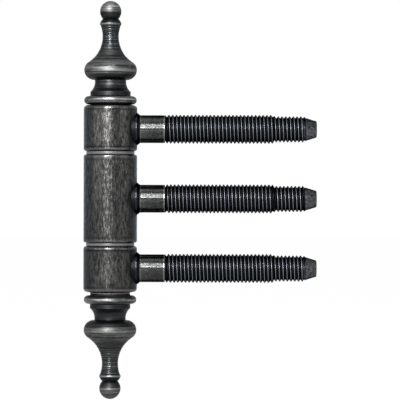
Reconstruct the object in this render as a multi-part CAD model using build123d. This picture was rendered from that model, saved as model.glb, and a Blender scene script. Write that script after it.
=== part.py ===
from build123d import *
import os
from math import hypot, sqrt

os.makedirs("parts", exist_ok=True)

# A three-part drill-in hinge. Three turned knuckles stand on one pin: the upper and the lower belong to
# the door frame, the longer middle one belongs to the door. Each carries a threaded spindle that is
# screwed into the wood. Millimetres, +Z up along the pin, origin on the pin's axis at mid height of the
# door knuckle, spindles pointing along +X, the side seen with the door shut towards -Y.

# Knuckles
barrel_d = 14.0
door_knuckle_h = 23.0
frame_knuckle_h = 12.0
door_edge_r = 0.5
frame_inner_edge_r = 0.7
frame_outer_edge_r = 0.9
seat_chamfer = 0.3

# Hinge pin, with a smaller threaded stub at each end for the finials
pin_d = 7.0
stub_d = 5.0
stub_length = 7.6
pin_chamfer = 0.3
stub_chamfer = 0.5

# Flanged bushes, pushed into both ends of the door knuckle
bush_wall = 1.0
bush_length = 8.0
flange_d = 12.66
flange_t = 0.85
flange_edge_r = 0.15

# Clearances, on the radius unless said otherwise
press_gap = 0.01
running_gap = 0.05
spigot_gap = 0.05
thread_gap = 0.02
axial_play = 0.05

# Spindles. Lengths along a spindle are counted from the outside of its knuckle. The two frame spindles
# stand a little nearer the door spindle than the middle of their knuckles.
spindle_offset = 0.2
tenon_d = 6.0
tenon_depth = 1.6
collar_d = 8.5
collar_length = 0.9
collar_round_r = 3.0
shank_d = 7.28
shank_length = 7.3
thread_d = 7.6
thread_length = 28.6
lead_thread_d = 6.88
lead_thread_length = 8.3
tip_root_d = 5.95
tip_end_d = 4.3
tip_length = 2.75
tip_edge_r = 0.35

# Finials. Heights are counted from the end of the knuckle that the finial stands on, radii from the axis.
spigot_d = 10.4
spigot_length = 2.8
counterbore_depth = 3.0
lower_standoff = 0.71
bead_inset = 0.13
bead_round_r = 1.05
bead_h = 1.3
band_d = 10.57
band_top_h = 3.54
cove_r = 3.5
waist_d = 8.16
bulge_inset = 0.115
bulge_h = 9.24
bulge_under_r = 2.57
bulge_over_r = 2.43
stem_d = 4.3
stem_h = 18.0
lip_d = 5.7
lip_h = 21.3
lip_round_r = 3.0
nip_d = 4.1
ball_d = 5.58
ball_h = 24.53
stub_hole_spare = 1.4
drill_point_h = 1.4

# Places that follow from the sizes above
barrel_r = barrel_d / 2
bush_d = pin_d + 2 * (running_gap + bush_wall)
door_bore_d = bush_d + 2 * press_gap
door_end_z = door_knuckle_h / 2
frame_inner_z = door_end_z + flange_t + axial_play
frame_outer_z = frame_inner_z + frame_knuckle_h
pin_shoulder_z = frame_outer_z - spigot_length
spindle_z = (frame_inner_z + frame_outer_z) / 2 - spindle_offset
bead_r = barrel_r - bead_inset
bulge_r = barrel_r - bulge_inset


def turned(profile):
    """A solid turned about Z from a closed outline of radius and height."""
    return revolve(Plane.XZ * make_face(profile), Axis.Z)


def drilled(diameter, depth, mouth_z, down=True):
    """A cutter for a hole on the axis, from mouth_z down, or up when down is false."""
    cutter = Cylinder(diameter / 2, depth, align=(Align.CENTER, Align.CENTER, Align.MAX))
    return Pos(0, 0, mouth_z) * (cutter if down else Rot(180, 0, 0) * cutter)


def spindle_seat(z):
    """A cutter for the flat-bottomed seat that a spindle's tenon is set into."""
    seat = Cylinder(tenon_d / 2 + press_gap, barrel_d, align=(Align.CENTER, Align.CENTER, Align.MIN))
    return Pos(barrel_r - tenon_depth, 0, z) * (Rot(0, 90, 0) * seat)


def barrel(low_z, high_z, low_edge_r, high_edge_r):
    """A plain knuckle blank between two heights with both outer rims rounded."""
    blank = Pos(0, 0, low_z) * Cylinder(
        barrel_r, high_z - low_z, align=(Align.CENTER, Align.CENTER, Align.MIN)
    )
    rims = blank.edges().filter_by(GeomType.CIRCLE).sort_by(Axis.Z)
    blank = fillet(rims[0], low_edge_r)
    rims = blank.edges().filter_by(GeomType.CIRCLE).filter_by(lambda e: e.center().Z > high_z - 1e-4)
    return fillet(rims, high_edge_r)


def make_door_knuckle():
    """The middle knuckle: bored right through for the two bushes, with eased mouths."""
    body = barrel(-door_end_z, door_end_z, door_edge_r, door_edge_r)
    body -= drilled(door_bore_d, door_knuckle_h, door_end_z)
    mouths = body.edges().filter_by(GeomType.CIRCLE).filter_by(
        lambda e: abs(e.radius - door_bore_d / 2) < 1e-4
    )
    body = chamfer(mouths, seat_chamfer)
    return body - spindle_seat(0)


def make_frame_knuckle(pin_gap):
    """The upper knuckle: bored for the pin, counterbored on top for the finial's spigot."""
    body = barrel(frame_inner_z, frame_outer_z, frame_inner_edge_r, frame_outer_edge_r)
    body -= drilled(pin_d + 2 * pin_gap, frame_knuckle_h, frame_outer_z)
    body -= drilled(spigot_d + 2 * spigot_gap, counterbore_depth, frame_outer_z)
    body = chamfer(
        body.edges().filter_by(GeomType.CIRCLE).filter_by(
            lambda e: abs(e.radius - pin_d / 2 - pin_gap) < 1e-4 and e.center().Z < frame_inner_z + 1e-4
        ),
        seat_chamfer,
    )
    return body - spindle_seat(spindle_z)


def make_bush():
    """The upper bush: a sleeve inside the door knuckle under a flange that carries the knuckle above."""
    flange = Pos(0, 0, door_end_z) * Cylinder(
        flange_d / 2, flange_t, align=(Align.CENTER, Align.CENTER, Align.MIN)
    )
    flange = fillet(flange.edges().filter_by(GeomType.CIRCLE), flange_edge_r)
    sleeve = drilled(bush_d, bush_length, door_end_z)
    sleeve = chamfer(sleeve.edges().filter_by(GeomType.CIRCLE).sort_by(Axis.Z)[0], seat_chamfer)
    return flange + sleeve - drilled(pin_d + 2 * running_gap, bush_length + flange_t, door_end_z + flange_t)


def make_pin():
    """The pin: one shaft through all knuckles with a shouldered stub at each end."""
    shaft = Cylinder(pin_d / 2, 2 * pin_shoulder_z)
    shaft = chamfer(shaft.edges().filter_by(GeomType.CIRCLE), pin_chamfer)
    stubs = Cylinder(stub_d / 2, 2 * (pin_shoulder_z + stub_length))
    stubs = chamfer(stubs.edges().filter_by(GeomType.CIRCLE), stub_chamfer)
    return shaft + stubs


def make_spindle():
    """A spindle along +X from the pin's axis: tenon, weld collar, shank, thread, lead thread and tip."""
    shank_end = barrel_r + shank_length
    thread_end = shank_end + thread_length
    lead_end = thread_end + lead_thread_length
    thread_step = (thread_d - shank_d) / 2
    lead_step = (thread_d - lead_thread_d) / 2
    tip_step = (lead_thread_d - tip_root_d) / 2
    collar_end = barrel_r + collar_length
    with BuildLine() as outline:
        Polyline((0, 0), (0, collar_d / 2), (barrel_r, collar_d / 2))
        RadiusArc((barrel_r, collar_d / 2), (collar_end, shank_d / 2), collar_round_r)
        Polyline(
            (collar_end, shank_d / 2),
            (shank_end, shank_d / 2),
            (shank_end + thread_step, thread_d / 2),
            (thread_end - lead_step, thread_d / 2),
            (thread_end, lead_thread_d / 2),
            (lead_end, lead_thread_d / 2),
            (lead_end + tip_step, tip_root_d / 2),
            (lead_end + tip_length, tip_end_d / 2),
            (lead_end + tip_length, 0),
            (0, 0),
        )
    rod = revolve(make_face(outline.line), Axis.X)
    tip_rim = rod.edges().filter_by(GeomType.CIRCLE).sort_by(Axis.X)[-1]
    rod = fillet(tip_rim, tip_edge_r)
    rod -= Cylinder(barrel_r, 2 * barrel_d)
    tenon = Cylinder(tenon_d / 2, tenon_depth + collar_length, align=(Align.CENTER, Align.CENTER, Align.MIN))
    return rod + Pos(barrel_r - tenon_depth, 0, 0) * (Rot(0, 90, 0) * tenon)


def make_finial():
    """The finial on its own base plane: spigot, bead, band, cove, bulge, trumpet stem, lip and ball."""
    bead_x = bead_r - bead_round_r
    bead_low_h = bead_h - bead_round_r
    bead_top_h = bead_h + bead_round_r
    bulge_low_h = bulge_h - bulge_under_r
    bulge_foot_x = bulge_r - bulge_under_r
    # The cove is an arc that leaves the band's top rim and ends upright at the waist.
    cove_run = (band_d - waist_d) / 2
    cove_top_h = band_top_h + sqrt(cove_r**2 - (cove_r - cove_run) ** 2)
    # The stem's hollow is the one arc that touches the bulge's round and stands upright at the stem.
    over_x = bulge_r - bulge_over_r
    across = stem_d / 2 - over_x
    up = stem_h - bulge_h
    hollow_r = (across**2 + up**2 - bulge_over_r**2) / (2 * (bulge_over_r - across))
    reach = hypot(across + hollow_r, up)
    touch_x = over_x + bulge_over_r * (across + hollow_r) / reach
    touch_h = bulge_h + bulge_over_r * up / reach
    # The flare under the lip leaves the stem upright too.
    flare_run = (lip_d - stem_d) / 2
    flare_r = (flare_run**2 + (lip_h - stem_h) ** 2) / (2 * flare_run)
    nip_h = ball_h - sqrt((ball_d / 2) ** 2 - (nip_d / 2) ** 2)
    with BuildLine() as outline:
        Polyline(
            (0, -spigot_length),
            (spigot_d / 2, -spigot_length),
            (spigot_d / 2, bead_low_h),
            (bead_x, bead_low_h),
        )
        ThreePointArc((bead_x, bead_low_h), (bead_r, bead_h), (bead_x, bead_top_h))
        Polyline((bead_x, bead_top_h), (band_d / 2, bead_top_h), (band_d / 2, band_top_h))
        RadiusArc((band_d / 2, band_top_h), (waist_d / 2, cove_top_h), cove_r)
        Polyline((waist_d / 2, cove_top_h), (waist_d / 2, bulge_low_h), (bulge_foot_x, bulge_low_h))
        RadiusArc((bulge_foot_x, bulge_low_h), (bulge_r, bulge_h), -bulge_under_r)
        RadiusArc((bulge_r, bulge_h), (touch_x, touch_h), -bulge_over_r)
        RadiusArc((touch_x, touch_h), (stem_d / 2, stem_h), hollow_r)
        RadiusArc((stem_d / 2, stem_h), (lip_d / 2, lip_h), flare_r)
        RadiusArc((lip_d / 2, lip_h), (nip_d / 2, nip_h), -lip_round_r)
        RadiusArc((nip_d / 2, nip_h), (0, ball_h + ball_d / 2), -ball_d / 2)
        Line((0, ball_h + ball_d / 2), (0, -spigot_length))
    hole_d = stub_d + 2 * thread_gap
    hole_top_h = stub_length + stub_hole_spare - spigot_length
    hole = drilled(hole_d, hole_top_h + spigot_length, -spigot_length, down=False)
    point = Cone(hole_d / 2, 0, drill_point_h, align=(Align.CENTER, Align.CENTER, Align.MIN))
    return turned(outline.line) - hole - Pos(0, 0, hole_top_h) * point


upper_knuckle = make_frame_knuckle(press_gap)
lower_knuckle = Rot(180, 0, 0) * make_frame_knuckle(running_gap)
upper_bush = make_bush()
spindle = make_spindle()
finial = make_finial()

nodes = {
    "upper_knuckle": upper_knuckle,
    "door_knuckle": make_door_knuckle(),
    "lower_knuckle": lower_knuckle,
    "upper_spindle": Pos(0, 0, spindle_z) * spindle,
    "door_spindle": spindle,
    "lower_spindle": Pos(0, 0, -spindle_z) * spindle,
    "hinge_pin": make_pin(),
    "upper_bush": upper_bush,
    "lower_bush": Rot(180, 0, 0) * upper_bush,
    "upper_finial": Pos(0, 0, frame_outer_z) * finial,
    "lower_finial": Pos(0, 0, -frame_outer_z - lower_standoff) * (Rot(180, 0, 0) * finial),
}
for name, shape in nodes.items():
    export_step(shape, f"parts/{name}.step")
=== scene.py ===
import random
from math import asin, atan2, cos, degrees, hypot, pi, radians, sin, sqrt

import bpy
import numpy as np
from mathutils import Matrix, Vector


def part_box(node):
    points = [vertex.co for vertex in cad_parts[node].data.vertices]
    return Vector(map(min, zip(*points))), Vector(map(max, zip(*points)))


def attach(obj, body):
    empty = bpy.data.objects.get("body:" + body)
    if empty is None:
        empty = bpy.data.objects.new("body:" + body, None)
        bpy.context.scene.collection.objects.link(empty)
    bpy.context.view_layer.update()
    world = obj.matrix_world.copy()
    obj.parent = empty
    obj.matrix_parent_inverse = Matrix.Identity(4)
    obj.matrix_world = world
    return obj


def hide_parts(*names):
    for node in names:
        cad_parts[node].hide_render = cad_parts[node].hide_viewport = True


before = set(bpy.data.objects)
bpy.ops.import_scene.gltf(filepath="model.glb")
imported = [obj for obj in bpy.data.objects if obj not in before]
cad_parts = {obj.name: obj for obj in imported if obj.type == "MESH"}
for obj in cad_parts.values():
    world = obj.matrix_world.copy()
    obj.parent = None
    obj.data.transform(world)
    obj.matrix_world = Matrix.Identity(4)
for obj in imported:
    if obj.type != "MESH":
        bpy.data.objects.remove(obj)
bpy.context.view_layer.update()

# A three-part drill-in hinge in dark antique iron. The pin stands on the Z axis, the spindles run along +X.
# Sizes are in millimetres and become metres where a mesh is made, and lamps are given in metres.
MM = 0.001


def reach(name, axis):
    """Where a CAD node begins and ends along one axis, in millimetres."""
    low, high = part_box(name)
    return low[axis] / MM, high[axis] / MM


# What the frame says about the knuckles, the rings, the spindles and the finials
X, Z = 0, 2
BARREL_R = reach("door_knuckle", X)[1]
DOOR_END = reach("door_knuckle", Z)[1]
FRAME_INNER, FRAME_OUTER = reach("upper_knuckle", Z)
FLANGE_R = reach("upper_bush", X)[1]
BUSH_FOOT, FLANGE_TOP = reach("upper_bush", Z)
SPINDLE_ROOT, SPINDLE_TIP = reach("upper_spindle", X)
collar_low, collar_high = reach("upper_spindle", Z)
SPINDLE_Z = (collar_low + collar_high) / 2
COLLAR_R = (collar_high - collar_low) / 2
FINIAL_BACK_OFF = -(reach("upper_finial", Z)[1] + reach("lower_finial", Z)[0])

# Knuckles and bushes, sizes that the boxes don't tell
PIN_R = 3.5
RUNNING_GAP = 0.05
PIN_BORE_R = PIN_R + RUNNING_GAP
BUSH_WALL = 1.0
BUSH_R = PIN_BORE_R + BUSH_WALL
BUSH_LEAD_IN = 0.3
FLANGE_EDGE_R = 0.15
DOOR_EDGE_R = 0.5
FRAME_INNER_EDGE_R = 0.7
FRAME_OUTER_EDGE_R = 0.9
COUNTERBORE_DEPTH = 3.0

# Spindles, lengths counted from the pin's axis. A crest passes the door spindle's top at CREST_AT_TOP, and
# the frame's two spindles are screwed round by FRAME_THREAD_TURN degrees from there.
TENON_R = 3.0
COLLAR_EDGE = 0.1
COLLAR_SINK = 0.05
COLLAR_LENGTH = 0.9
SHANK_R = 3.64
SHANK_END = 14.3
THREAD_R = 3.8
THREAD_END = 42.9
THREAD_DEPTH = 0.5
PITCH = 0.986
CREST_AT_TOP = 15.85
FRAME_THREAD_TURN = 157
LEAD_THREAD_R = 3.44
LEAD_END = 51.2
TIP_ROOT_R = 2.975
TIP_END_R = 2.15
TIP_EDGE_R = 0.35

# The finial's outline, heights counted from the end of its knuckle
SPIGOT_R = 5.2
SPIGOT_GAP = 0.05
SPIGOT_LENGTH = 2.8
SPIGOT_EDGE = 0.1
STUB_HOLE_R = 2.52
STUB_HOLE_END = 6.2
BEAD_ROUND_R = 1.05
BEAD_R = 6.87
BEAD_H = 1.3
BAND_R = 5.285
BAND_TOP_H = 3.54
COVE_R = 3.5
WAIST_R = 4.08
BULGE_R = 6.885
BULGE_H = 9.24
BULGE_UNDER_R = 2.57
BULGE_OVER_R = 2.43
STEM_R = 2.15
STEM_H = 18.0
LIP_R = 2.85
LIP_H = 21.3
LIP_ROUND_R = 3.0
NIP_R = 2.05
BALL_R = 2.79
BALL_H = 24.53
COUNTERBORE_R = SPIGOT_R + SPIGOT_GAP

# How finely the pieces are turned, and how near two points merge
TURNED_STEPS = 128
THREAD_STEPS = 40
MERGE_GAP = 0.002
THREAD_MERGE_GAP = 0.0005


def deselect():
    """Leaves nothing selected, so that an operator acts on the new piece alone."""
    if bpy.context.object and bpy.context.object.mode != "OBJECT":
        bpy.ops.object.mode_set(mode="OBJECT")
    bpy.ops.object.select_all(action="DESELECT")


def select_only(piece):
    """Makes one piece the selected and active one."""
    deselect()
    piece.select_set(True)
    bpy.context.view_layer.objects.active = piece


def arc(centre, radius, start, end, points):
    """Points on an arc, angles in degrees from the radius axis towards the height axis."""
    turn = [radians(start + (end - start) * i / points) for i in range(points + 1)]
    return [(centre[0] + radius * cos(a), centre[1] + radius * sin(a)) for a in turn]


def straight(start, end, points):
    """Points on a straight line, both ends included."""
    return [
        (start[0] + (end[0] - start[0]) * i / points, start[1] + (end[1] - start[1]) * i / points)
        for i in range(points + 1)
    ]


def outline_object(name, outline):
    """A chain of edges in the XZ plane, drawn from one vertex by extruding it from point to point."""
    deselect()
    bpy.ops.mesh.primitive_plane_add(size=MM, location=(0, 0, 0))
    piece = bpy.context.object
    piece.name = piece.data.name = name
    bpy.ops.object.mode_set(mode="EDIT")
    bpy.ops.mesh.select_all(action="SELECT")
    bpy.ops.mesh.merge(type="CENTER")
    bpy.ops.transform.translate(value=(outline[0][0] * MM, 0, outline[0][1] * MM))
    for before, after in zip(outline, outline[1:]):
        step = ((after[0] - before[0]) * MM, 0, (after[1] - before[1]) * MM)
        bpy.ops.mesh.extrude_region_move(TRANSFORM_OT_translate={"value": step})
    bpy.ops.object.mode_set(mode="OBJECT")
    return piece


def close_up(piece, gap=MERGE_GAP):
    """Merges what coincides and turns all faces outwards."""
    bpy.ops.object.mode_set(mode="EDIT")
    bpy.ops.mesh.select_all(action="SELECT")
    bpy.ops.mesh.remove_doubles(threshold=gap * MM)
    bpy.ops.mesh.normals_make_consistent(inside=False)
    bpy.ops.object.mode_set(mode="OBJECT")
    return piece


def turned(name, outline, axis=(0, 0, 1), steps=TURNED_STEPS):
    """A lathe piece: the outline, drawn in the XZ plane, spun once round the axis."""
    piece = outline_object(name, outline)
    bpy.ops.object.mode_set(mode="EDIT")
    bpy.ops.mesh.select_all(action="SELECT")
    bpy.ops.mesh.spin(steps=steps, angle=2 * pi, center=(0, 0, 0), axis=axis)
    bpy.ops.object.mode_set(mode="OBJECT")
    return close_up(piece)


def smooth(piece, corner=40):
    """Smooth shading up to an angle in degrees, so that real corners stay crisp."""
    select_only(piece)
    bpy.ops.object.shade_smooth_by_angle(angle=radians(corner))


def store(piece, layer_name, amount):
    """Stores a value on each point, as told by a function of places in millimetres."""
    count = len(piece.data.vertices)
    places = np.zeros(count * 3)
    piece.data.vertices.foreach_get("co", places)
    values = amount(*(places.reshape(-1, 3) / MM).T)
    layer = piece.data.attributes.new(layer_name, "FLOAT", "POINT")
    layer.data.foreach_set("value", values.astype(np.float32))


def read_off(place, table):
    """The amount at a place, between the rows of a table of (place, amount)."""
    return np.interp(place, *zip(*table))


def wear(piece, rubbed, polished, soot_and_shade):
    """Stores how far the black finish is rubbed off in patches and polished off evenly, and the soot and
    painted shade.
    """
    store(piece, "rubbed", rubbed)
    store(piece, "polished", polished)
    store(piece, "soot_and_shade", soot_and_shade)


# Materials. Each is one principled surface with its pattern in the piece's own object coordinates.
BLACK_FINISH = (0.0084, 0.0093, 0.0104, 1)
# The soot colours also stand in for painted shade in the weld's corner, the spigot's gap and the thread's
# grooves.
FINISH_SOOT_AND_SHADE = (0.0043, 0.0046, 0.0051, 1)
WELD_SOOT_AND_GROOVE_SHADE = (0.0046, 0.0053, 0.0064, 1)
SOOT_AND_SHADE_ROUGHNESS = 0.3
THREAD_ROUGHNESS = 0.36


class Finish:
    """A material under construction: short calls that add and link nodes."""

    def __init__(self, name):
        self.material = bpy.data.materials.new(name)
        self.material.use_nodes = True
        self.nodes = self.material.node_tree.nodes
        self.links = self.material.node_tree.links
        self.surface = self.nodes["Principled BSDF"]
        self.place = self.nodes.new("ShaderNodeTexCoord").outputs["Object"]

    def feed(self, socket, value):
        """Links an output or sets a constant."""
        if isinstance(value, bpy.types.NodeSocket):
            self.links.new(value, socket)
        else:
            socket.default_value = value

    def set(self, **values):
        """Sockets of the surface by name, underscores for spaces."""
        for name, value in values.items():
            self.feed(self.surface.inputs[name.replace("_", " ")], value)

    def noise(self, scale, detail=4.0, roughness=0.6, distortion=0.0):
        """Noise in object coordinates, with its own number of features per metre along each axis."""
        stretched = self.nodes.new("ShaderNodeMapping")
        self.links.new(self.place, stretched.inputs["Vector"])
        stretched.inputs["Scale"].default_value = scale
        node = self.nodes.new("ShaderNodeTexNoise")
        self.links.new(stretched.outputs["Vector"], node.inputs["Vector"])
        node.inputs["Scale"].default_value = 1.0
        node.inputs["Detail"].default_value = detail
        node.inputs["Roughness"].default_value = roughness
        node.inputs["Distortion"].default_value = distortion
        return node.outputs["Fac"]

    def spread(self, value, low, high, to_low=0.0, to_high=1.0):
        """Stretches a range of values to another and clamps it."""
        node = self.nodes.new("ShaderNodeMapRange")
        self.feed(node.inputs["Value"], value)
        node.inputs["From Min"].default_value = low
        node.inputs["From Max"].default_value = high
        node.inputs["To Min"].default_value = to_low
        node.inputs["To Max"].default_value = to_high
        return node.outputs["Result"]

    def reckon(self, operation, first, second):
        """One step of arithmetic."""
        node = self.nodes.new("ShaderNodeMath")
        node.operation = operation
        self.feed(node.inputs[0], first)
        self.feed(node.inputs[1], second)
        return node.outputs[0]

    def plus(self, first, second):
        """The sum of two values."""
        return self.reckon("ADD", first, second)

    def minus(self, first, second):
        """The first value less the second."""
        return self.reckon("SUBTRACT", first, second)

    def times(self, first, second):
        """The product of two values."""
        return self.reckon("MULTIPLY", first, second)

    def blend(self, amount, first, second):
        """Two colours mixed by an amount."""
        node = self.nodes.new("ShaderNodeMix")
        node.data_type = "RGBA"
        self.feed(node.inputs["Factor"], amount)
        self.feed(node.inputs["A"], first)
        self.feed(node.inputs["B"], second)
        return node.outputs["Result"]

    def stored(self, name):
        """A value stored on the piece's points."""
        node = self.nodes.new("ShaderNodeAttribute")
        node.attribute_name = name
        return node.outputs["Fac"]

    def relief(self, height, strength, depth):
        """Bump from a height, depth in millimetres."""
        node = self.nodes.new("ShaderNodeBump")
        node.inputs["Strength"].default_value = strength
        node.inputs["Distance"].default_value = depth * MM
        self.links.new(height, node.inputs["Height"])
        self.links.new(node.outputs["Normal"], self.surface.inputs["Normal"])

    def metal(self, shown, steel, edge, soot_and_shade_colour):
        """Black finish, darker where soot or painted shade is stored, and steel as far as it is shown. Edge
        tints it at grazing angles.
        """
        black = self.blend(self.stored("soot_and_shade"), BLACK_FINISH, soot_and_shade_colour)
        self.set(Base_Color=self.blend(shown, black, steel), Metallic=1.0)
        self.set(Specular_Tint=edge)

    def dulled(self, roughness):
        """Roughness, raised where soot or painted shade is stored and lowered where that value is stored
        below zero.
        """
        raised = self.times(self.stored("soot_and_shade"), SOOT_AND_SHADE_ROUGHNESS)
        self.set(Roughness=self.plus(roughness, raised))


class Patina(Finish):
    """A black finish on metal, rubbed through in streaks and blotches, with bright flecks."""

    def __init__(self, name, streaks, blotches, flecks, sparkle, steel, edge):
        super().__init__(name)
        self.grain = self.noise(streaks, detail=3)
        self.cloud = self.noise(blotches)
        self.dots = self.noise(flecks, detail=1, roughness=0.5)
        streaked = self.spread(self.grain, 0.41, 0.62, 0.05, 1.55)
        blotched = self.spread(self.cloud, 0.38, 0.64, 0.0, 0.6)
        sparks = self.spread(self.dots, 0.55, 0.66, 0.0, sparkle)
        patches = self.times(self.stored("rubbed"), self.plus(self.plus(streaked, blotched), sparks))
        even = self.times(self.stored("polished"), self.spread(self.cloud, 0.3, 0.7, 0.7, 1.3))
        self.metal(self.plus(patches, even), steel, edge, FINISH_SOOT_AND_SHADE)


def grey(value):
    """A neutral colour."""
    return (value, value, value, 1)


def antique_iron():
    """Knuckles: the finish is drawn lengthwise."""
    f = Patina(
        "antique_iron", streaks=(2400, 2400, 600), blotches=(900, 900, 280), flecks=(2600, 2600, 1000),
        sparkle=1.2, steel=(0.470, 0.462, 0.446, 1), edge=(0.71, 0.75, 0.79, 1),
    )
    f.dulled(f.spread(f.dots, 0.4, 0.6, 0.34, 0.15))
    rough = f.minus(f.noise((2000, 2000, 550), detail=2), 0.5)
    left_by_polish = f.spread(f.stored("polished"), 0.0, 0.1, 1.0, 0.35)
    f.relief(f.times(rough, left_by_polish), strength=1.0, depth=0.045)
    return f.material


def turned_iron():
    """Finials: fine marks of the lathe tool run round them."""
    f = Patina(
        "turned_antique_iron", streaks=(50, 50, 2300), blotches=(45, 45, 1700), flecks=(600, 600, 3000),
        sparkle=0.6, steel=(0.45, 0.46, 0.47, 1), edge=grey(0.65),
    )
    f.dulled(f.spread(f.cloud, 0.3, 0.7, 0.43, 0.33))
    f.relief(f.plus(f.grain, f.times(f.dots, 0.15)), strength=0.8, depth=0.07)
    return f.material


def blackened_steel():
    """Spindles: rubbed on the shank and on the thread's crests, the thread duller than the shank."""
    f = Finish("blackened_steel")
    dull = f.stored("dull")
    grain = f.noise((1400, 3600, 3600), detail=3)
    cloud = f.noise((900, 1500, 1500), distortion=0.3)
    uneven = f.plus(f.spread(grain, 0.42, 0.60, 0.0, 1.4), f.spread(cloud, 0.36, 0.64, 0.0, 0.8))
    shown = f.plus(f.times(f.stored("rubbed"), uneven), f.stored("polished"))
    steel = f.blend(dull, grey(0.46), (0.37, 0.405, 0.475, 1))
    # The soot colour also darkens the thread's grooves as painted shade.
    f.metal(shown, steel, edge=grey(0.3), soot_and_shade_colour=WELD_SOOT_AND_GROOVE_SHADE)
    bright = f.minus(1.0, dull)
    smooth_steel = f.times(bright, f.spread(cloud, 0.3, 0.7, 0.23, 0.15))
    f.set(Roughness=f.plus(smooth_steel, f.times(dull, THREAD_ROUGHNESS)))
    f.relief(f.times(f.noise((3200, 1500, 1500), detail=2), bright), strength=0.6, depth=0.04)
    return f.material


def grey_bush():
    """Rings: satin grey with faint marks running round."""
    f = Finish("grey_bush")
    rings = f.noise((200, 200, 7000), detail=3)
    cloud = f.noise((500, 500, 500), detail=3)
    darker, lighter = (0.028, 0.032, 0.035, 1), (0.039, 0.045, 0.050, 1)
    f.set(Base_Color=f.blend(f.spread(cloud, 0.3, 0.7), darker, lighter), Metallic=0.0)
    f.set(Roughness=f.spread(rings, 0.3, 0.7, 0.45, 0.32))
    f.relief(rings, strength=0.25, depth=0.03)
    return f.material


def bright_steel():
    """The pin: ground steel, marks running round."""
    f = Finish("bright_steel")
    rings = f.noise((300, 300, 6000), detail=3)
    f.set(Base_Color=f.blend(f.spread(rings, 0.3, 0.7), grey(0.4), grey(0.6)), Metallic=1.0)
    f.set(Roughness=f.spread(rings, 0.3, 0.7, 0.35, 0.22))
    f.relief(rings, strength=0.2, depth=0.02)
    return f.material


def dressed(piece, material, body, node):
    """Gives a finished piece its material and its place in the frame."""
    piece.data.materials.clear()
    piece.data.materials.append(material)
    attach(piece, body)
    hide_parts(node)


# Knuckles. A strip beside each rim, on the end face and on the wall, keeps the rim's polish to it.
RIM_STRIP = 0.8
WALL_STRIP = 0.3
ROWS_PER_MM = 2
RIM_POINTS = 10

# How far a barrel is rubbed and polished, by the distance from its nearer end
BARREL_WEAR = [(1.0, 0.0), (1.3, 0.03), (1.6, 0.05)]
BARREL_SHINE = [(0.1, 0.0), (0.35, 0.11), (0.75, 0.11), (1.0, 0.0)]
SHINE_FROM_R = BARREL_R - 0.6

# Weld soot and painted shade of the spindle's joint begin just inside the collar's edge and fade out over
# its reach.
WELD_OVERLAP = 0.3
WELD_REACH = 3.0


def barrel_outline(low, high, low_edge, high_edge):
    """The outside of a barrel with rounded rims, from its lower end face round to its upper one."""
    wall_low = (BARREL_R, low + low_edge + WALL_STRIP)
    wall_high = (BARREL_R, high - high_edge - WALL_STRIP)
    outline = [(BARREL_R - low_edge - RIM_STRIP, low)]
    outline += arc((BARREL_R - low_edge, low + low_edge), low_edge, -90, 0, RIM_POINTS)
    outline += straight(wall_low, wall_high, int(ROWS_PER_MM * (high - low)))
    outline += arc((BARREL_R - high_edge, high - high_edge), high_edge, 0, 90, RIM_POINTS)
    outline.append((BARREL_R - high_edge - RIM_STRIP, high))
    return outline


def wear_barrel(piece, low, high, spindle_z):
    """A barrel is rubbed in patches, polished just inside its rims and darkened round its spindle by weld
    soot and painted shade of the joint.
    """

    def from_end(z):
        """Distance from the barrel's nearer end."""
        return np.minimum(np.abs(z - low), np.abs(z - high))

    def clear_of_weld_soot_and_shade(x, y, z):
        """0 at the spindle's collar, 1 where no weld soot or painted shade of the joint reaches."""
        beyond = np.hypot(y, z - spindle_z) - COLLAR_R + WELD_OVERLAP
        away = np.where(x > 0, np.clip(beyond / WELD_REACH, 0, 1), 1.0)
        return away * (2 - away)

    def rubbed(x, y, z):
        return read_off(from_end(z), BARREL_WEAR) * clear_of_weld_soot_and_shade(x, y, z)

    def polished(x, y, z):
        level = np.where(np.hypot(x, y) < SHINE_FROM_R, 0.0, read_off(from_end(z), BARREL_SHINE))
        return level * clear_of_weld_soot_and_shade(x, y, z)

    def soot_and_shade(x, y, z):
        return 1 - clear_of_weld_soot_and_shade(x, y, z)

    wear(piece, rubbed, polished, soot_and_shade)


def make_door_knuckle():
    """The long middle knuckle, bored for the two bushes."""
    foot = (BUSH_R, -DOOR_END)
    outline = [foot] + barrel_outline(-DOOR_END, DOOR_END, DOOR_EDGE_R, DOOR_EDGE_R)
    outline += [(BUSH_R, DOOR_END), foot]
    piece = turned("door_barrel", outline)
    wear_barrel(piece, -DOOR_END, DOOR_END, 0)
    smooth(piece)
    return piece


def make_frame_knuckle(name, side):
    """The upper knuckle for side 1, the lower one for side -1, counterbored at its outer end."""
    foot = (PIN_BORE_R, FRAME_INNER)
    floor = FRAME_OUTER - COUNTERBORE_DEPTH
    outline = [foot] + barrel_outline(FRAME_INNER, FRAME_OUTER, FRAME_INNER_EDGE_R, FRAME_OUTER_EDGE_R)
    outline += [(COUNTERBORE_R, FRAME_OUTER), (COUNTERBORE_R, floor), (PIN_BORE_R, floor), foot]
    piece = turned(name, [(radius, side * height) for radius, height in outline])
    wear_barrel(piece, side * FRAME_INNER, side * FRAME_OUTER, side * SPINDLE_Z)
    smooth(piece)
    return piece


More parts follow.
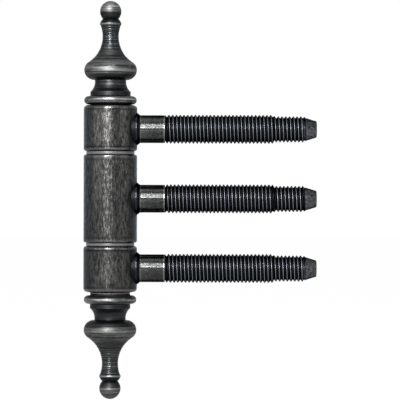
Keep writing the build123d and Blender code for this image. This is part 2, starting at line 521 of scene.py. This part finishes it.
# Bushes
def make_bush(name, side):
    """A sleeve in the door knuckle under a flange that shows as a light ring, side 1 for the upper one."""
    flange_x = FLANGE_R - FLANGE_EDGE_R
    foot = (PIN_BORE_R, BUSH_FOOT)
    outline = [foot, (BUSH_R - BUSH_LEAD_IN, BUSH_FOOT), (BUSH_R, BUSH_FOOT + BUSH_LEAD_IN)]
    outline.append((BUSH_R, DOOR_END))
    outline += arc((flange_x, DOOR_END + FLANGE_EDGE_R), FLANGE_EDGE_R, -90, 0, 5)
    outline += arc((flange_x, FLANGE_TOP - FLANGE_EDGE_R), FLANGE_EDGE_R, 0, 90, 5)
    outline += [(PIN_BORE_R, FLANGE_TOP), foot]
    piece = turned(name, [(radius, side * height) for radius, height in outline])
    smooth(piece)
    return piece


# Finials. Wear and marks go by height above the end of the knuckle, as the outline does.
UPPER_SEED, LOWER_SEED = 5, 9

# Where the lathe tool left its grooves, how far apart, and how much less they are rubbed per mm of depth
FIRST_MARK_H, LAST_MARK_H = 7.4, BALL_H + BALL_R - 0.3
MARK_STEP = (0.5, 0.62)
CONE_FROM_H, CONE_TO_H = 10.9, 12.5
STEM_FROM_H, STEM_TO_H = 12.5, LIP_H - 0.3
MARKED_FROM_R = 1.5
MARK_DARKENS = 14

# A bright ring on the spigot, whose heights are points of the outline too, in the painted shade below the
# bead
SPIGOT_SHINE = [(-0.65, 0.0), (-0.5, 0.3), (-0.38, 0.3), (-0.25, 0.0)]
SPIGOT_SHADE_TO_H = BEAD_H - BEAD_ROUND_R + 0.05

# How far the finish is rubbed off
FINIAL_WEAR = [
    (0.0, 0.0), (0.3, 0.03), (0.9, 0.13), (1.3, 0.27), (1.8, 0.11), (2.35, 0.01), (3.4, 0.01), (3.54, 0.02),
    (3.7, 0.01), (6.0, 0.035), (6.7, 0.0), (7.6, 0.02), (8.6, 0.11), (9.2, 0.15), (9.9, 0.16), (10.5, 0.12),
    (12.0, 0.08), (15.0, 0.065), (18.0, 0.08), (20.8, 0.04), (21.05, 0.1), (21.25, 0.35), (21.45, 0.1),
    (21.7, 0.0), (24.2, 0.01), (24.7, 0.19), (25.6, 0.24), (27.3, 0.2),
]

# How many times as much each finial is rubbed. On the hanging one, less rubbing from waist to stem is
# painted shade and more by the lip is a painted highlight.
UPPER_RUBBING = [(0.0, 1.0)]
LOWER_RUBBING_AND_PAINTED_LIGHT = [
    (2.4, 1.1), (6.0, 0.75), (16.5, 0.75), (18.0, 1.2), (20.8, 1.35), (21.6, 0.65), (24.2, 4.0),
    (24.7, 0.42), (25.6, 0.4),
]

# Soot above zero dulls the bulge, the cone and the ball; below zero it burnishes the stem.
FINIAL_SOOT = [
    (6.6, 0.0), (7.6, 0.35), (10.5, 0.35), (12.0, 0.5), (14.3, 0.4), (16.0, -0.45), (20.0, -0.45),
    (21.0, 0.0), (22.6, 0.0), (23.6, 0.35),
]


def finial_outline():
    """The turned outline from the foot of the stub hole, round the spigot and up to the top of the ball."""
    bead_x = BEAD_R - BEAD_ROUND_R
    cove_run = BAND_R - WAIST_R
    cove_rise = sqrt(COVE_R**2 - (COVE_R - cove_run) ** 2)
    cove_top = BAND_TOP_H + cove_rise
    cove_turn = degrees(asin(cove_rise / COVE_R))
    # The hollow flank touches the bulge's upper round and the stem.
    under_x = BULGE_R - BULGE_UNDER_R
    over_x = BULGE_R - BULGE_OVER_R
    across = STEM_R - over_x
    up = STEM_H - BULGE_H
    hollow_r = (across**2 + up**2 - BULGE_OVER_R**2) / (2 * (BULGE_OVER_R - across))
    touch = degrees(atan2(up, across + hollow_r))
    flare_run = LIP_R - STEM_R
    flare_rise = LIP_H - STEM_H
    flare_r = (flare_run**2 + flare_rise**2) / (2 * flare_run)
    flare_turn = degrees(asin(flare_rise / flare_r))
    # The lip's round passes through the lip's edge and the nip below the ball.
    nip_h = BALL_H - sqrt(BALL_R**2 - NIP_R**2)
    ball_turn = degrees(atan2(nip_h - BALL_H, NIP_R))
    half = hypot(LIP_R - NIP_R, LIP_H - nip_h) / 2
    back = sqrt(LIP_ROUND_R**2 - half**2)
    lip_x = (LIP_R + NIP_R) / 2 - back * (nip_h - LIP_H) / (2 * half)
    lip_h = (LIP_H + nip_h) / 2 - back * (LIP_R - NIP_R) / (2 * half)
    lip_from = degrees(atan2(LIP_H - lip_h, LIP_R - lip_x))
    lip_to = degrees(atan2(nip_h - lip_h, NIP_R - lip_x))

    # The band and the waist stop just short of the rounds beside them, so that the corners stay crisp.
    band_top = BAND_TOP_H - 0.08
    waist_foot = cove_top + 0.1
    waist_top = BULGE_H - BULGE_UNDER_R - 0.12

    outline = [(0, STUB_HOLE_END), (STUB_HOLE_R, STUB_HOLE_END), (STUB_HOLE_R, -SPIGOT_LENGTH)]
    outline += [(SPIGOT_R - SPIGOT_EDGE, -SPIGOT_LENGTH), (SPIGOT_R, SPIGOT_EDGE - SPIGOT_LENGTH)]
    outline += [(SPIGOT_R, height) for height, _ in SPIGOT_SHINE] + [(SPIGOT_R, BEAD_H - BEAD_ROUND_R)]
    outline += arc((bead_x, BEAD_H), BEAD_ROUND_R, -90, 90, 24)
    outline += straight((BAND_R, BEAD_H + BEAD_ROUND_R), (BAND_R, band_top), 3)
    outline += arc((WAIST_R + COVE_R, cove_top), COVE_R, 180 + cove_turn, 180, 18)
    outline += straight((WAIST_R, waist_foot), (WAIST_R, waist_top), 2)
    outline += arc((under_x, BULGE_H), BULGE_UNDER_R, -90, 0, 24)
    outline += arc((over_x, BULGE_H), BULGE_OVER_R, 0, touch, 22)[1:]
    outline += arc((STEM_R + hollow_r, STEM_H), hollow_r, 180 + touch, 180, 120)[1:]
    outline += arc((STEM_R + flare_r, STEM_H), flare_r, 180, 180 - flare_turn, 48)[1:]
    outline += arc((lip_x, lip_h), LIP_ROUND_R, lip_from, lip_to, 10)[1:]
    outline += arc((0, BALL_H), BALL_R, ball_turn, 90, 48)[1:]
    return outline


def mark_sizes(height):
    """Least and greatest depth, and least and greatest half width, of a groove at this height."""
    if STEM_FROM_H < height < STEM_TO_H:
        return (0.05, 0.10), (0.22, 0.30)
    if CONE_FROM_H < height < CONE_TO_H:
        return (0.02, 0.04), (0.18, 0.26)
    return (0.004, 0.016), (0.18, 0.26)


def turning_marks(seed):
    """Uneven grooves of the lathe tool from the bulge to the ball: height, depth and half width of each."""
    rng = random.Random(seed)
    marks = []
    height = FIRST_MARK_H
    while height < LAST_MARK_H:
        depths, widths = mark_sizes(height)
        marks.append((height, rng.uniform(*depths), rng.uniform(*widths)))
        height += rng.uniform(*MARK_STEP)
    return marks


def cut_marks(outline, marks):
    """The outline with the grooves cut in, all but the part near the axis."""
    marked = []
    for radius, height in outline:
        cut = max(deep * max(0.0, 1 - abs(height - at) / wide) for at, deep, wide in marks)
        marked.append((radius - cut if radius > MARKED_FROM_R else radius, height))
    return marked


def make_finial(name, base, side, seed, rubbing_and_painted_light):
    """The finial on its knuckle's end, upright for side 1 and hanging for side -1, rubbed more or less,
    with painted shade and highlight where its table of rubbing says.
    """
    marks = turning_marks(seed)
    outline = cut_marks(finial_outline(), marks)
    piece = turned(name, [(radius, side * (base + height)) for radius, height in outline])

    def rubbed(x, y, z):
        above = side * z - base
        left = np.ones(len(above))
        for at, deep, wide in marks:
            left = left * (1 - min(deep * MARK_DARKENS, 1) * np.clip(1 - np.abs(above - at) / wide, 0, 1))
        return read_off(above, rubbing_and_painted_light) * read_off(above, FINIAL_WEAR) * left

    def polished(x, y, z):
        return read_off(side * z - base, SPIGOT_SHINE)

    def soot_and_shade(x, y, z):
        above = side * z - base
        # Below the bead the spigot, seen in the gap at the knuckle's end, is blackened as painted shade.
        return np.where(above < SPIGOT_SHADE_TO_H, 1.0, read_off(above, FINIAL_SOOT))

    wear(piece, rubbed, polished, soot_and_shade)
    smooth(piece)
    return piece


# Spindles. Weld soot and painted shade of the corner at the barrel cover the collar's flank, and the tip's
# finish starts inside the thread's end.
SOOT_AND_SHADE_LENGTH = 0.75
SOOT_AND_SHADE_END = BARREL_R + SOOT_AND_SHADE_LENGTH
TIP_FROM = LEAD_END - 0.2

# Tells the thread's points from the shank's where they meet
TINY = 0.001

# Bright rings, by place along the spindle. The collar's places are points of its outline too.
COLLAR_SHINE = [(BARREL_R - 0.3, 0.0), (BARREL_R - 0.2, 0.03), (BARREL_R - 0.08, 0.03), (BARREL_R, 0.0)]
SHANK_SHINE = [
    (SOOT_AND_SHADE_END + 0.02, 0.0), (SOOT_AND_SHADE_END + 0.15, 0.12), (SOOT_AND_SHADE_END + 0.45, 0.004),
    (SHANK_END - 0.4, 0.004), (SHANK_END - 0.15, 0.3), (SHANK_END, 0.2),
]
CREST_SHINE = 0.27
CREST_WIDTH = 0.065

# Turns that the thread starts early and has to spare before its ends are cut, and steps of its thinning
TURNS_BEFORE, TURNS_SPARE = 2, 5
DRAW_STEPS = 5


def thread_length(name, outer_r, start, end):
    """A stretch of thread: one V section screwed along the spindle and cut square at both ends."""
    root_r = outer_r - THREAD_DEPTH
    first = CREST_AT_TOP + PITCH * (int((start - CREST_AT_TOP) / PITCH) - TURNS_BEFORE)
    # One flank from root to crest, as the part of a pitch away from the crest and the radius there
    flank = [(0.5, root_r), (0.44, root_r), (0.14, outer_r - 0.1), (0.07, outer_r - 0.02)]
    section = [(first - part * PITCH, radius) for part, radius in flank] + [(first, outer_r)]
    section += [(first + part * PITCH, radius) for part, radius in reversed(flank)]
    piece = outline_object(name, section)
    screw = piece.modifiers.new("thread", "SCREW")
    screw.axis = "X"
    screw.angle = 2 * pi
    screw.screw_offset = PITCH * MM
    screw.iterations = int((end - start) / PITCH) + TURNS_SPARE
    screw.steps = screw.render_steps = THREAD_STEPS
    screw.use_merge_vertices = True
    screw.merge_threshold = MERGE_GAP * MM
    select_only(piece)
    bpy.ops.object.modifier_apply(modifier=screw.name)
    for place, way in ((start, 1), (end, -1)):
        bpy.ops.object.mode_set(mode="EDIT")
        bpy.ops.mesh.select_all(action="SELECT")
        bpy.ops.mesh.bisect(
            plane_co=(place * MM, 0, 0), plane_no=(way, 0, 0), use_fill=True, clear_inner=True,
            threshold=THREAD_MERGE_GAP * MM,
        )
        bpy.ops.object.mode_set(mode="OBJECT")
    return piece


def draw_in(piece, start, end, scale):
    """Thins the thread evenly towards an end, in short steps from start to end."""
    part = scale ** (1 / DRAW_STEPS)
    for step in range(DRAW_STEPS):
        line = (start + (end - start) * step / DRAW_STEPS) * MM
        bpy.ops.object.mode_set(mode="EDIT")
        bpy.ops.mesh.select_all(action="DESELECT")
        bpy.ops.object.mode_set(mode="OBJECT")
        for vertex in piece.data.vertices:
            vertex.select = vertex.co.x > line if end > start else vertex.co.x < line
        bpy.ops.object.mode_set(mode="EDIT")
        bpy.ops.transform.resize(value=(1, part, part), center_override=(0, 0, 0))
        bpy.ops.object.mode_set(mode="OBJECT")


def root_outline():
    """Tenon, weld collar and shank, as (place along the spindle, radius)."""
    collar_foot = sqrt(BARREL_R**2 - COLLAR_R**2) - COLLAR_SINK
    collar_end = BARREL_R + COLLAR_LENGTH
    outline = [(SPINDLE_ROOT, 0), (SPINDLE_ROOT, TENON_R), (collar_foot, TENON_R)]
    outline += [(collar_foot, COLLAR_R - COLLAR_EDGE), (collar_foot + COLLAR_EDGE, COLLAR_R)]
    outline += [(place, COLLAR_R) for place, _ in COLLAR_SHINE]
    # The weld's hollow flank
    outline += [(BARREL_R + 0.25, COLLAR_R - 0.15), (BARREL_R + 0.5, COLLAR_R - 0.35)]
    outline += [(collar_end - 0.2, SHANK_R + 0.06), (collar_end, SHANK_R)]
    # The shank, with a small shoulder where the thread begins
    outline += [(collar_end + 0.25, SHANK_R), (SHANK_END - 3, SHANK_R), (SHANK_END - 0.4, SHANK_R)]
    outline += [(SHANK_END - 0.12, SHANK_R), (SHANK_END - 0.02, SHANK_R - 0.08)]
    outline += [(SHANK_END, SHANK_R - 0.2), (SHANK_END, 0)]
    return outline


def tip_outline():
    """The tapered tip with its rounded end, as (place along the spindle, radius)."""
    slope = degrees(atan2(TIP_ROOT_R - TIP_END_R, SPINDLE_TIP - LEAD_END))
    # The taper comes in at a slant, so the middle of the end's round lies a little further out.
    middle = (TIP_END_R - TIP_EDGE_R + 0.07, SPINDLE_TIP - TIP_EDGE_R)
    outline = [(LEAD_END - 1, 0), (LEAD_END - 1, TIP_ROOT_R), (LEAD_END, TIP_ROOT_R)]
    outline += [(place, radius) for radius, place in arc(middle, TIP_EDGE_R, slope, 90, 8)]
    outline.append((SPINDLE_TIP, 0))
    return outline


def spindle_rubbed(x, y, z):
    """The tip is rubbed most, the shank a little and the thread hardly."""
    return np.select([x > TIP_FROM, x < SOOT_AND_SHADE_END, x < SHANK_END], [0.08, 0.0, 0.028], 0.004)


def spindle_polished(x, y, z):
    """Bright rings on the collar and at both ends of the shank, and bright crests of the thread."""
    outer = np.where(x < THREAD_END, THREAD_R, LEAD_THREAD_R)
    on_thread = np.clip(1 - (outer - np.hypot(y, z)) / CREST_WIDTH, 0, 1) * CREST_SHINE
    on_root = read_off(x, COLLAR_SHINE + SHANK_SHINE)
    return np.select([x > TIP_FROM, x > SHANK_END + TINY], [0.0, on_thread], on_root)


def spindle_soot_and_shade(x, y, z):
    """Weld soot and painted shade on the collar, and painted shade at the bottom of the thread."""
    outer = np.where(x < THREAD_END, THREAD_R, LEAD_THREAD_R)
    painted_groove_shade = np.clip((outer - np.hypot(y, z) - 0.03) / 0.1, 0, 1)
    on_thread = (x > SHANK_END + TINY) & (x < TIP_FROM)
    return np.select([x < SOOT_AND_SHADE_END, on_thread], [1.0, painted_groove_shade], 0.0)


def spindle_dull(x, y, z):
    """The thread and the collar's foot are dull, the tip nearly so."""
    return np.select([x > TIP_FROM, (x > SHANK_END - TINY) | (x < BARREL_R - 0.25)], [0.7, 1.0], 0.0)


def make_spindle(name):
    """The door spindle: tenon and weld collar, shank, thread, lead thread and tapered tip, joined."""
    thread_start = SHANK_END - 0.01
    lead_start = THREAD_END - 0.5
    main = thread_length(name, THREAD_R, thread_start, THREAD_END)
    draw_in(main, SHANK_END + 0.7, SHANK_END, scale=0.95)
    draw_in(main, lead_start, THREAD_END, scale=0.93)
    lead = thread_length(name + "_lead", LEAD_THREAD_R, lead_start, LEAD_END)
    draw_in(lead, LEAD_END - 0.8, LEAD_END, scale=0.92)
    root = turned(name + "_root", root_outline(), axis=(1, 0, 0), steps=THREAD_STEPS)
    tip = turned(name + "_tip", tip_outline(), axis=(1, 0, 0), steps=THREAD_STEPS)
    deselect()
    for part in (main, lead, root, tip):
        part.select_set(True)
    bpy.context.view_layer.objects.active = main
    bpy.ops.object.join()
    close_up(main, THREAD_MERGE_GAP)
    wear(main, spindle_rubbed, spindle_polished, spindle_soot_and_shade)
    store(main, "dull", spindle_dull)
    smooth(main, corner=35)
    return main


def spindle_copy(piece, name, z):
    """The same spindle with its own mesh, moved to another knuckle and screwed round."""
    copy = piece.copy()
    copy.data = piece.data.copy()
    copy.name = copy.data.name = name
    bpy.context.scene.collection.objects.link(copy)
    select_only(copy)
    bpy.ops.object.mode_set(mode="EDIT")
    bpy.ops.mesh.select_all(action="SELECT")
    bpy.ops.transform.rotate(value=radians(FRAME_THREAD_TURN), orient_axis="X", center_override=(0, 0, 0))
    bpy.ops.transform.translate(value=(0, 0, z * MM))
    bpy.ops.object.mode_set(mode="OBJECT")
    return copy


# The pieces, each on its body
FRAME_BODY, DOOR_BODY, LOWER_BODY = "frame_side", "door_side", "lower_frame_side"

iron = antique_iron()
finial_iron = turned_iron()
black = blackened_steel()
bush_grey = grey_bush()
pin_steel = bright_steel()

dressed(make_door_knuckle(), iron, DOOR_BODY, "door_knuckle")
dressed(make_frame_knuckle("upper_barrel", 1), iron, FRAME_BODY, "upper_knuckle")
dressed(make_frame_knuckle("lower_barrel", -1), iron, LOWER_BODY, "lower_knuckle")
dressed(make_bush("upper_ring", 1), bush_grey, DOOR_BODY, "upper_bush")
dressed(make_bush("lower_ring", -1), bush_grey, DOOR_BODY, "lower_bush")

upper_finial = make_finial("upper_turned_finial", FRAME_OUTER, 1, UPPER_SEED, UPPER_RUBBING)
dressed(upper_finial, finial_iron, FRAME_BODY, "upper_finial")
lower_base = FRAME_OUTER + FINIAL_BACK_OFF
lower_finial = make_finial("lower_turned_finial", lower_base, -1, LOWER_SEED, LOWER_RUBBING_AND_PAINTED_LIGHT)
dressed(lower_finial, finial_iron, FRAME_BODY, "lower_finial")

door_spindle = make_spindle("door_threaded_spindle")
upper_spindle = spindle_copy(door_spindle, "upper_threaded_spindle", SPINDLE_Z)
lower_spindle = spindle_copy(door_spindle, "lower_threaded_spindle", -SPINDLE_Z)
dressed(door_spindle, black, DOOR_BODY, "door_spindle")
dressed(upper_spindle, black, FRAME_BODY, "upper_spindle")
dressed(lower_spindle, black, LOWER_BODY, "lower_spindle")

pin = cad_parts["hinge_pin"]
pin.data.materials.clear()
pin.data.materials.append(pin_steel)


# Stage, light and camera
FLOOR_Z = -56
FLOOR_R = 3000
FLOOR_GLOW = 0.98
LAMP_COLOUR = (1.0, 0.97, 0.93)
WORLD_LIGHT = 0.6


def make_floor():
    """A pale floor below the hinge, nearly white to the camera, that keeps a faint shadow."""
    deselect()
    place = (0, 0, FLOOR_Z * MM)
    bpy.ops.mesh.primitive_circle_add(vertices=64, radius=FLOOR_R * MM, fill_type="NGON", location=place)
    floor = bpy.context.object
    floor.name = "floor"
    f = Finish("pale_floor")
    f.set(Base_Color=grey(0.82), Roughness=0.9)
    glow = f.nodes.new("ShaderNodeEmission")
    glow.inputs["Strength"].default_value = 1.0
    rays = f.nodes.new("ShaderNodeLightPath")
    mix = f.nodes.new("ShaderNodeMixShader")
    f.links.new(f.times(rays.outputs["Is Camera Ray"], FLOOR_GLOW), mix.inputs["Fac"])
    f.links.new(f.surface.outputs["BSDF"], mix.inputs[1])
    f.links.new(glow.outputs["Emission"], mix.inputs[2])
    f.links.new(mix.outputs["Shader"], f.nodes["Material Output"].inputs["Surface"])
    floor.data.materials.append(f.material)


def make_world():
    """White to the camera and in reflections, plain soft light otherwise."""
    world = bpy.data.worlds.new("studio")
    bpy.context.scene.world = world
    world.use_nodes = True
    nodes, links = world.node_tree.nodes, world.node_tree.links
    background = nodes["Background"]
    background.inputs["Color"].default_value = (1, 1, 1, 1)
    rays = nodes.new("ShaderNodeLightPath")
    seen = rays.outputs["Is Camera Ray"]
    for ray in ("Is Glossy Ray", "Is Transmission Ray"):
        either = nodes.new("ShaderNodeMath")
        either.operation = "ADD"
        links.new(seen, either.inputs[0])
        links.new(rays.outputs[ray], either.inputs[1])
        seen = either.outputs[0]
    level = nodes.new("ShaderNodeMapRange")
    links.new(seen, level.inputs["Value"])
    level.inputs["To Min"].default_value = WORLD_LIGHT
    level.inputs["To Max"].default_value = 1.0
    links.new(level.outputs["Result"], background.inputs["Strength"])


def soft_lamp(name, azimuth, elevation, size, power, distance=0.6):
    """An area lamp that looks at the hinge, azimuth 0 being the camera's side, sizes in metres."""
    lamp = bpy.data.lights.new(name, "AREA")
    lamp.shape = "RECTANGLE"
    lamp.size, lamp.size_y = size
    lamp.energy = power
    lamp.color = LAMP_COLOUR
    holder = bpy.data.objects.new(name, lamp)
    bpy.context.scene.collection.objects.link(holder)
    a, e = radians(azimuth), radians(elevation)
    way = Vector((sin(a) * cos(e), -cos(a) * cos(e), sin(e)))
    holder.location = way * distance
    holder.rotation_euler = way.to_track_quat("Z", "Y").to_euler()
    holder.visible_camera = False


def make_camera():
    """From the -Y side, level with the door knuckle, framed as a 400 by 400 picture."""
    px_per_mm = 3.8214
    picture = 400
    axis_px, middle_px = 110.3, 198.8
    distance = 600 * MM
    lean = -0.13
    data = bpy.data.cameras.new("camera")
    camera = bpy.data.objects.new("camera", data)
    bpy.context.scene.collection.objects.link(camera)
    data.sensor_width = 36
    data.lens = data.sensor_width * distance / (picture / px_per_mm * MM)
    x = (picture / 2 - axis_px) / px_per_mm * MM
    z = (middle_px - picture / 2) / px_per_mm * MM
    camera.location = (x, -distance, z)
    camera.rotation_euler = (pi / 2, radians(lean), 0)
    data.clip_start = 0.01
    data.clip_end = 20
    bpy.context.scene.camera = camera


make_floor()
make_world()
soft_lamp("key_high", azimuth=-14, elevation=40, size=(0.10, 0.05), power=2.6)
soft_lamp("key_low", azimuth=-15, elevation=12, size=(0.07, 0.06), power=3.4)
soft_lamp("key_front", azimuth=-1, elevation=13, size=(0.10, 0.05), power=1.4)
soft_lamp("key_band", azimuth=-2, elevation=29, size=(0.10, 0.15), power=1.6)
soft_lamp("key_side", azimuth=11, elevation=20, size=(0.10, 0.16), power=0.6)
soft_lamp("left_fill", azimuth=-52, elevation=15, size=(0.50, 0.30), power=1.15)
soft_lamp("right_fill", azimuth=62, elevation=15, size=(0.40, 0.30), power=0.6)
soft_lamp("overhead", azimuth=0, elevation=78, size=(0.3, 0.3), power=0.5, distance=0.5)
soft_lamp("low_fill", azimuth=-8, elevation=-24, size=(0.12, 0.08), power=0.1)
make_camera()
bpy.context.scene.view_settings.view_transform = "Standard"
